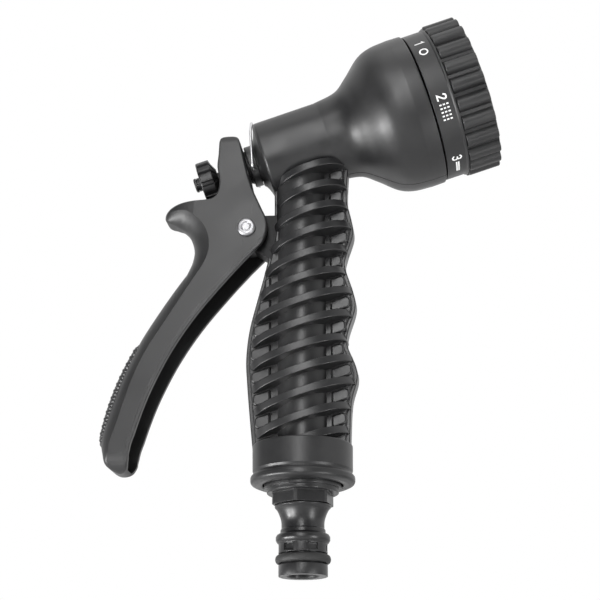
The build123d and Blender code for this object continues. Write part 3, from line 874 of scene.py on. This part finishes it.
def round_cap(bm):
    """Draw the sides in a little towards the top of the lever."""
    slice_at(bm, 2, eased(CAP_START, CAP_RISE, 8))
    for vert in bm.verts:
        t = (vert.co.z / MM - CAP_START) / CAP_RISE
        if t > 0:
            vert.co.y *= oval(t, CAP_END)


def prism(name, outline, half, *steps):
    """Plain block over an XZ outline, for cutting."""
    verts = [Vector((x, y, z)) * MM for y in (-half, half) for x, z in outline]
    return raw(name, verts, skin(2, len(outline)), *steps)


def cut(obj, cutters):
    """Take the cutters out of obj, then remove them."""
    for cutter in cutters:
        taken = obj.modifiers.new("cut", "BOOLEAN")
        taken.operation = "DIFFERENCE"
        taken.solver = "EXACT"
        taken.object = cutter
    graph = bpy.context.evaluated_depsgraph_get()
    mesh = bpy.data.meshes.new_from_object(obj.evaluated_get(graph))
    obj.modifiers.clear()
    obj.data = mesh
    for cutter in cutters:
        bpy.data.objects.remove(cutter)


def pad_seat(p, inward):
    """The outline with a shallow step let in where the grip pad lies."""
    seated = p.copy()
    for i, (x, z) in enumerate(p):
        under = min((SEAT_TOP - z) / 4, (z - SEAT_FOOT) / 3, 1.0)
        if x < SEAT_FRONT and under > 0:
            seated[i] += inward[i] * PAD_SEAT * under * min(1.0, (SEAT_FRONT - x) / 2)
    return seated


def shoulder_line(p, inward):
    """For each outline point, where its shoulder meets the flat side."""
    n = len(p)
    crease = np.array(curve(CREASE, 6))
    first = closest(p, CREASE_FROM)
    span = (closest(p, CREASE_TO) - first) % n
    target = p + inward * LEVER_EDGE
    for k in range(span + 1):
        i = (first + k) % n
        ease = min(1.0, k / 5, (span - k) / 14)
        ease = ease * ease * (3 - 2 * ease)
        target[i] = target[i] * (1 - ease) + nearest(p[i], crease) * ease
    for _ in range(3):
        target = 0.25 * np.roll(target, 1, 0) + 0.5 * target + 0.25 * np.roll(target, -1, 0)
    return target


def shoulder_rows(outline):
    """Rows of (x, z, y) points that climb from the outline's edge to the flat side."""
    p = np.array(outline)
    n = len(p)
    inward = np.array(inset(p, 1.0)) - p
    inward /= np.linalg.norm(inward, axis=1)[:, None]
    p = pad_seat(p, inward)
    target = shoulder_line(p, inward)
    width = np.linalg.norm(target - p, axis=1)
    depth = np.minimum(width * 1.35, SHOULDER_DEEP)
    lip_start = closest(p, LIP_FROM)
    lip_span = (closest(p, LIP_TO) - lip_start) % n
    rows = [[] for _ in range(SLOPE_STEPS + 3)]
    for i in range(n):
        way = (target[i] - p[i]) / width[i]
        if (i - lip_start) % n <= lip_span:
            full, deep, wide, top = math.pi / 2, LIP, LIP, LEVER_HALF - LIP_DROP
            flat = (1.15, 1.3)
        else:
            full, deep, wide, top = STEEP, depth[i], width[i], LEVER_HALF
            flat = (width[i] + 0.03, width[i] + 0.06)
        for k in range(SLOPE_STEPS + 1):
            a = full * k / SLOPE_STEPS
            d = wide * (1 - math.cos(a)) / (1 - math.cos(full))
            rows[k].append((*(p[i] + way * d), top - deep + deep * math.sin(a) / math.sin(full)))
        rows[-2].append((*(p[i] + way * flat[0]), top))
        rows[-1].append((*(p[i] + way * flat[1]), LEVER_HALF))
    return rows


def merge_rows(bm):
    """Join the points where rows run together."""
    bmesh.ops.remove_doubles(bm, verts=bm.verts, dist=2e-6)


def make_hollow():
    """Cutter for the room inside the lever, open to the front."""
    inner = arc(*INNER, 50)
    low = bend(INNER[2], (-60.4, 39.4), heading(inner[-2], inner[-1]), 10)
    upper = curve([(-25.2, 133.0), (-26.6, 126.0), (-29.4, 119.0), (-31.4, 112.5), (-32.6, 107.0),
                   INNER[0]], 6)
    foot = curve([(-60.4, 39.4), (-59.6, 36.8), (-57.8, 35.0), (-55.0, 34.5)], 5)
    outline = [(-8, 148.6), (-25.7, 148.6), (-26.0, 143.0), (-26.3, 139.0)]
    outline += upper[:-1] + inner[:-1] + low[:-1] + foot + [(-40, 34.5), (-8, 90)]
    half = LEVER_HALF - LEVER_WALL
    tip = round_tip(half, TIP_BOTTOM + 1.3, TIP_ROUND - LEVER_WALL)
    return prism("hollow_cut", outline, half, turn_out, tip)


def make_stem_slot():
    """Cutter for the slot in the lever's rear wall that the stem runs through."""
    corners = [(-SLOT_R, -2.35), (SLOT_R, -2.35), (SLOT_R, 3.85), (-SLOT_R, 3.85)]
    slot = rounded(plain(corners, SLOT_R * 0.99), 8)
    verts = [
        (barrel_point(s, 0, 0) + SIDE * u + UP * v) * MM for s in (-33.0, -23.0) for u, v in slot
    ]
    return raw("slot_cut", verts, skin(2, len(slot)))


def make_hole():
    """Cutter for the rivet's hole."""
    turns = [math.pi * k / 24 for k in range(48)]
    circle = [(PIVOT.x + HOLE_R * math.cos(t), PIVOT.z + HOLE_R * math.sin(t)) for t in turns]
    return prism("hole_cut", circle, 12)


def make_lever():
    rows = shoulder_rows(lever_outline())
    n, count = len(rows[0]), len(rows)
    verts = [Vector((x, y * side, z)) * MM for side in (1, -1) for row in rows for x, z, y in row]
    half = skin(count, n)
    del half[-2]  # the two halves join along their first row
    other = count * n
    faces = [tuple(base + i for i in face) for base in (0, other) for face in half]
    faces += [(i, (i + 1) % n, other + (i + 1) % n, other + i) for i in range(n)]
    tip = round_tip(LEVER_HALF, TIP_BOTTOM, TIP_ROUND)
    steps = (turn_out, merge_rows, round_horn, round_cap, tip)
    shell = raw("lever_shell", verts, faces, *steps)
    cut(shell, [make_hollow(), make_stem_slot(), make_hole()])
    return dress(shell, "lever", LEVER, 14)


def make_pad():
    """Grip pad: a strip along the lever's back with rows of small domes and a scalloped edge."""
    path = arc(*PAD_OUTER, 60)
    path = path[:-1] + bend(PAD_OUTER[2], PAD_FOOT, heading(path[-2], path[-1]), 12)
    p = np.array(path)
    along = lengths(p)
    total = along[-1]
    count = int(total / PAD_STEP)
    row = PAD_LANES + 1
    shares = [-1 + 2 * j / PAD_LANES for j in range(row)]

    def at(u):
        x, z = (float(np.interp(u, along, p[:, c])) for c in range(2))
        return Vector((x, 0, z))

    verts, faces = [], []
    for i in range(count + 1):
        u = total * i / count
        way = (at(min(u + 0.5, total)) - at(max(u - 0.5, 0))).normalized()
        out = Vector((way.z, 0, -way.x))
        ends = min(1.0, u / 2.5, (total - u) / 1.5)
        half = PAD_HALF * math.sqrt(max(1 - (1 - ends) ** 2, 0.02))
        half += PAD_SCALLOP * math.cos(4 * math.pi * u / PAD_PITCH) * ends
        wave = math.cos(2 * math.pi * u / PAD_PITCH)
        for t in shares:
            v = half * t
            dome = 0.5 + 0.5 * wave * math.cos(2 * math.pi * v / PAD_PITCH)
            rim = (1 - abs(t) ** 8) * ends
            drop = PAD_BUMP * (1 - dome) + 0.45 * (v / PAD_HALF) ** 2 + 1.4 * (1 - rim)
            verts.append(at(u) + SIDE * v - out * drop)
        verts += [at(u) + SIDE * (half * t * 0.98) - out * PAD_THICK for t in shares]
    for i in range(count):
        a, b = i * 2 * row, (i + 1) * 2 * row
        c, d = a + row, b + row  # the same rows on the pad's underside
        for j in range(PAD_LANES):
            faces.append((a + j, a + j + 1, b + j + 1, b + j))
            faces.append((c + j, d + j, d + j + 1, c + j + 1))
        faces.append((a, b, d, c))
        faces.append((a + PAD_LANES, c + PAD_LANES, d + PAD_LANES, b + PAD_LANES))
    for a in (0, count * 2 * row):
        c = a + row
        faces += [(a + j, c + j, c + j + 1, a + j + 1) for j in range(PAD_LANES)]
    return piece("lever_grip_pad", verts, faces, "lever", LEVER, "black_lever", crease=60)


MOULD_LINES = (((-16.1, 124.2), (-16.3, 120.6)), ((-18.3, 112.6), (-20.0, 108.3)))


def make_mould_lines():
    """Fine raised lines where inserts met in the mould, beside the rivet."""
    parts = []
    for a, b in MOULD_LINES:
        along = (Vector(b) - Vector(a)).normalized() * 0.1
        aside = Vector((-along.y, along.x))
        corners = [Vector(a) + aside, Vector(b) + aside, Vector(b) - aside, Vector(a) - aside]
        for side in (-1, 1):
            levels = (side * (LEVER_HALF - 0.3), side * (LEVER_HALF + 0.05))
            parts.append(([Vector((c.x, y, c.y)) for y in levels for c in corners], skin(2, 4)))
    piece("lever_mould_lines", *join(parts), "lever", LEVER, "black_lever")


make_mould_lines()
lever_shell = make_lever()
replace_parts(lever_shell, "lever")
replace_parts(make_pad(), "grip_pad")

# ---- rivet ----
RIVET_R = 2.4


def rivet_place(y, r, a):
    return Vector((PIVOT.x + r * math.cos(a), y, PIVOT.z + r * math.sin(a)))


def make_rivet():
    """Shank with a pressed head at each end, a fine ring let into each face."""
    head = [
        (9.5, 0, 0),
        (9.62, 1.2, 0.2),
        (9.25, 1.5, 0.12),
        (9.72, 1.8, 0.2),
        (9.6, 2.6, 0.4),
        (8.95, 3.12, 0.25),
        (8.2, 3.12, 0.1),
        (8.2, RIVET_R, 0),
    ]
    outline = [(-y, r, radius) for y, r, radius in head] + head[::-1]
    verts, faces = spin(rounded(outline), rivet_place)
    rivet = piece("rivet_ringed", verts, faces, "base", RIVET, "rivet_steel")
    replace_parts(rivet, "pivot_rivet")


make_rivet()

# ---- valve spring and bail ----
WIRE_R = 0.45
COIL_START = -10.0
COIL_LONG = 20.0
COIL_PITCH = 3.3
COIL_R = 3.35
COIL_STEP = 12  # degrees between its rings of points
BAIL_IN = 4.2
BAIL_HALF = 8.9
BAIL_LEG = 18.9
BAIL_SHOULDER = 13.2  # where its sides start to slant in
BAIL_LEAN = 13.5  # forwards from square to the barrel


def wire(path, around=14):
    """Points and faces of round wire along a path, closed at both ends."""
    verts = []
    last = len(path) - 1
    side = (path[1] - path[0]).orthogonal()
    for i, p in enumerate(path):
        ahead = (path[min(i + 1, last)] - path[max(i - 1, 0)]).normalized()
        side = (side - ahead * side.dot(ahead)).normalized()
        other = ahead.cross(side)
        for k in range(around):
            b = math.tau * k / around
            verts.append(p + (side * math.cos(b) + other * math.sin(b)) * WIRE_R)
    return verts, skin(len(path), around)


def make_spring():
    """Coil round the stem."""
    steps = round(360 * COIL_LONG / COIL_PITCH / COIL_STEP)
    path = [
        barrel_point(COIL_START + COIL_LONG * i / steps, COIL_R, math.radians(i * COIL_STEP))
        for i in range(steps + 1)
    ]
    spring = piece("valve_spring_coil", *wire(path), "base", SPRING, "spring_steel")
    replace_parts(spring, "valve_spring")
    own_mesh(spring)


def make_bail():
    hinge = Vector(JOINTS["bail_pivot"]["pos_m"]) / MM
    lean = math.radians(BAIL_LEAN)
    rise = UP * math.cos(lean) + AX * math.sin(lean)
    left = [
        (-BAIL_IN, 0, 0),
        (-BAIL_HALF, 0, 0.8),
        (-BAIL_HALF, BAIL_SHOULDER, 2.0),
        (-BAIL_HALF / 2, BAIL_LEG, 2.0),
    ]
    corners = left + [(-y, h, radius) for y, h, radius in left[::-1]]
    path = [hinge + SIDE * y + rise * h for y, h in rounded(corners, 6)]
    bail = piece("wire_bail_bent", *wire(path), "bail", WIRE, "wire_steel")
    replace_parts(bail, "wire_bail")


make_spring()
make_bail()

# ---- knob ----
KNOB_R = 7.3
FLUTES = 12
FLUTE_DEEP = 1.2
FLUTE_INNER = 4.8  # nothing is let in nearer the axis


def knob_place(s, r, a):
    """Barrel point with grooves let into the rim."""
    t = min(max((math.cos(FLUTES * a) - 0.1) / 0.45, 0.0), 1.0)
    groove = t * t * (3 - 2 * t)
    share = min(max((r - FLUTE_INNER) / FLUTE_DEEP, 0.0), 1.0)
    return barrel_point(s, r - FLUTE_DEEP * groove * share, a)


def make_knob():
    outline = rounded(
        [
            (-38.2, 2.06, 0),
            (-38.2, 2.4, 0.2),
            (-37.0, 2.4, 0.2),
            (-37.0, 5.2, 0),
            (-36.9, KNOB_R, 0.5),
            (-32.3, KNOB_R, 0.35),
            (-31.8, 5.6, 0.3),
            (-30.6, 3.3, 0.3),
            (-30.6, 2.06, 0),
        ],
        5,
    )
    verts, faces = spin(outline, knob_place, 336)
    knob = piece("flow_knob_fluted", verts, faces, "knob", KNOB, "black_knob")
    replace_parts(knob, "flow_knob")


make_knob()

# ---- CAD nodes that stay, each with its material and the width of its broken edges ----
KEPT = {
    "valve_seat": (ACETAL, 0.1),
    "gland_nut": (FITTING, 0.12),
    "gland_seal": (RUBBER, 0),
    "valve_stem": (STEM, 0.1),
    "valve_disc": (RUBBER, 0),
    "stem_cap": (KNOB, 0.1),
    "spray_face": (FACE, 0.15),
    "dial_washer": (SPRING, 0.1),
    "dial_screw": (SPRING, 0.1),
    "port_seal": (RUBBER, 0),
    "seal_spring": (SPRING, 0),
    "detent_spring": (SPRING, 0),
    "detent_ball": (SPRING, 0),
    "inlet_nut": (FITTING, 0.15),
    "inlet_gasket": (RUBBER, 0),
    "inlet_spigot": (SPIGOT, 0.12),
    "spigot_oring": (RUBBER, 0),
    "strainer": (SPRING, 0),
}


def finish_node(name, material, bevel):
    """Material on a CAD node, welded so that it shades smoothly, with its edges broken."""
    obj = frame["nodes"][name]
    obj.data.materials.clear()
    obj.data.materials.append(material)
    weld = obj.modifiers.new("weld", "WELD")
    weld.merge_threshold = 2e-6
    if bevel:
        soft = obj.modifiers.new("soft_edges", "BEVEL")
        soft.width = bevel * MM
        soft.segments = 3
        soft.limit_method = "ANGLE"
        soft.angle_limit = math.radians(32)
        soft.use_clamp_overlap = False
        soft.harden_normals = True
        soft.miter_outer = "MITER_ARC"


for node_name, (node_material, node_bevel) in KEPT.items():
    finish_node(node_name, node_material, node_bevel)

# ---- floor, world, lights, camera ----
FLOOR_Z = -330.0
FLOOR_R = 4.0  # in metres


def make_floor():
    mesh = bpy.data.meshes.new("floor")
    bm = bmesh.new()
    bmesh.ops.create_circle(bm, cap_ends=True, segments=96, radius=FLOOR_R)
    bmesh.ops.translate(bm, verts=bm.verts, vec=(0, 0, FLOOR_Z * MM))
    bm.to_mesh(mesh)
    bm.free()
    obj = bpy.data.objects.new("floor", mesh)
    bpy.context.scene.collection.objects.link(obj)
    mat = bpy.data.materials.new("pale_floor")
    mat.use_nodes = True
    bsdf = mat.node_tree.nodes["Principled BSDF"]
    bsdf.inputs["Base Color"].default_value = (0.6, 0.6, 0.6, 1)
    bsdf.inputs["Roughness"].default_value = 0.7
    mesh.materials.append(mat)


FILL_FRONT = 0.12
FILL_BACK = 1.0
FILL_TOWARDS = (0.4, 1.0, 0.0)  # the fill grows brighter that way
FILL_RANGE = (-0.7, 0.15)


def make_world():
    world = bpy.data.worlds.new("studio")
    bpy.context.scene.world = world
    world.use_nodes = True
    tree = world.node_tree
    link = tree.links.new
    seen = tree.nodes["Background"]
    seen.inputs["Color"].default_value = (1, 1, 1, 1)
    seen.inputs["Strength"].default_value = 1.0
    fill = node(tree, "ShaderNodeBackground", Color=(1, 1, 1, 1))
    where = node(tree, "ShaderNodeTexCoord")
    behind = node(tree, "ShaderNodeVectorMath", operation="DOT_PRODUCT")
    behind.inputs[1].default_value = FILL_TOWARDS
    link(where.outputs["Generated"], behind.inputs[0])
    strength = ranged(
        tree,
        behind.outputs["Value"],
        FILL_FRONT,
        FILL_BACK,
        *FILL_RANGE,
        interpolation_type="SMOOTHSTEP",
    )
    link(strength, fill.inputs["Strength"])
    path = node(tree, "ShaderNodeLightPath")
    mix = node(tree, "ShaderNodeMixShader")
    link(path.outputs["Is Camera Ray"], mix.inputs["Fac"])
    link(fill.outputs["Background"], mix.inputs[1])
    link(seen.outputs["Background"], mix.inputs[2])
    link(mix.outputs["Shader"], tree.nodes["World Output"].inputs["Surface"])


LIT = (0.01, 0.0, 0.12)
LIGHT_AWAY = 0.75


def away(azimuth, elevation):
    """Direction from the object, in radians from the camera's side and up from level."""
    level = math.cos(elevation)
    return Vector((math.sin(azimuth) * level, -math.cos(azimuth) * level, math.sin(elevation)))


def aim(azimuth, elevation):
    """Place of a light in that direction, in degrees."""
    return Vector(LIT) + away(math.radians(azimuth), math.radians(elevation)) * LIGHT_AWAY


def soft_light(name, where, target, size, power):
    """Area light aimed at target, unseen by the camera."""
    data = bpy.data.lights.new(name, "AREA")
    data.shape = "RECTANGLE"
    data.size, data.size_y = size
    data.energy = power
    obj = bpy.data.objects.new(name, data)
    bpy.context.scene.collection.objects.link(obj)
    obj.location = Vector(where)
    obj.rotation_mode = "QUATERNION"
    obj.rotation_quaternion = (Vector(target) - Vector(where)).to_track_quat("-Z", "Y")
    obj.visible_camera = False
    return obj


CAMERA_AZIMUTH = 6.53
CAMERA_ELEVATION = -19.67
CAMERA_ROLL = -0.18
CAMERA_PLACE = (46.02, -408.32, -55.17)
CAMERA_LENS = 78.0


def make_camera():
    a, e, roll = (math.radians(x) for x in (CAMERA_AZIMUTH, CAMERA_ELEVATION, CAMERA_ROLL))
    back = away(a, e)
    level = Vector((math.cos(a), math.sin(a), 0))
    rise = back.cross(level)
    right = level * math.cos(roll) + rise * math.sin(roll)
    up = rise * math.cos(roll) - level * math.sin(roll)
    data = bpy.data.cameras.new("camera")
    data.lens = CAMERA_LENS
    data.sensor_width = 36.0
    data.clip_start = 0.01
    obj = bpy.data.objects.new("camera", data)
    bpy.context.scene.collection.objects.link(obj)
    turn = Matrix((right, up, back)).transposed().to_4x4()
    obj.matrix_world = Matrix.Translation(Vector(CAMERA_PLACE) * MM) @ turn
    bpy.context.scene.camera = obj


make_floor()
make_world()
make_camera()
bpy.context.scene.view_settings.view_transform = "Standard"
soft_light("left_rear", aim(-70, -27), LIT, (0.10, 0.16), 3.6)
soft_light("left_front", aim(-47, -31), LIT, (0.10, 0.16), 3.2)
soft_light("right", aim(54, -27), LIT, (0.10, 0.3), 2.2)
soft_light("front", aim(-3, 9), LIT, (0.18, 0.55), 2.8)
soft_light("front_high", aim(-14, 36), LIT, (0.3, 0.22), 1.0)
soft_light("top", aim(20, 75), LIT, (0.7, 0.5), 1.4)
wash = soft_light("floor_wash", (-0.3, 0.9, 0.3), (-0.1, 0.8, FLOOR_Z * MM), (0.7, 0.7), 9.0)
wash.visible_glossy = False
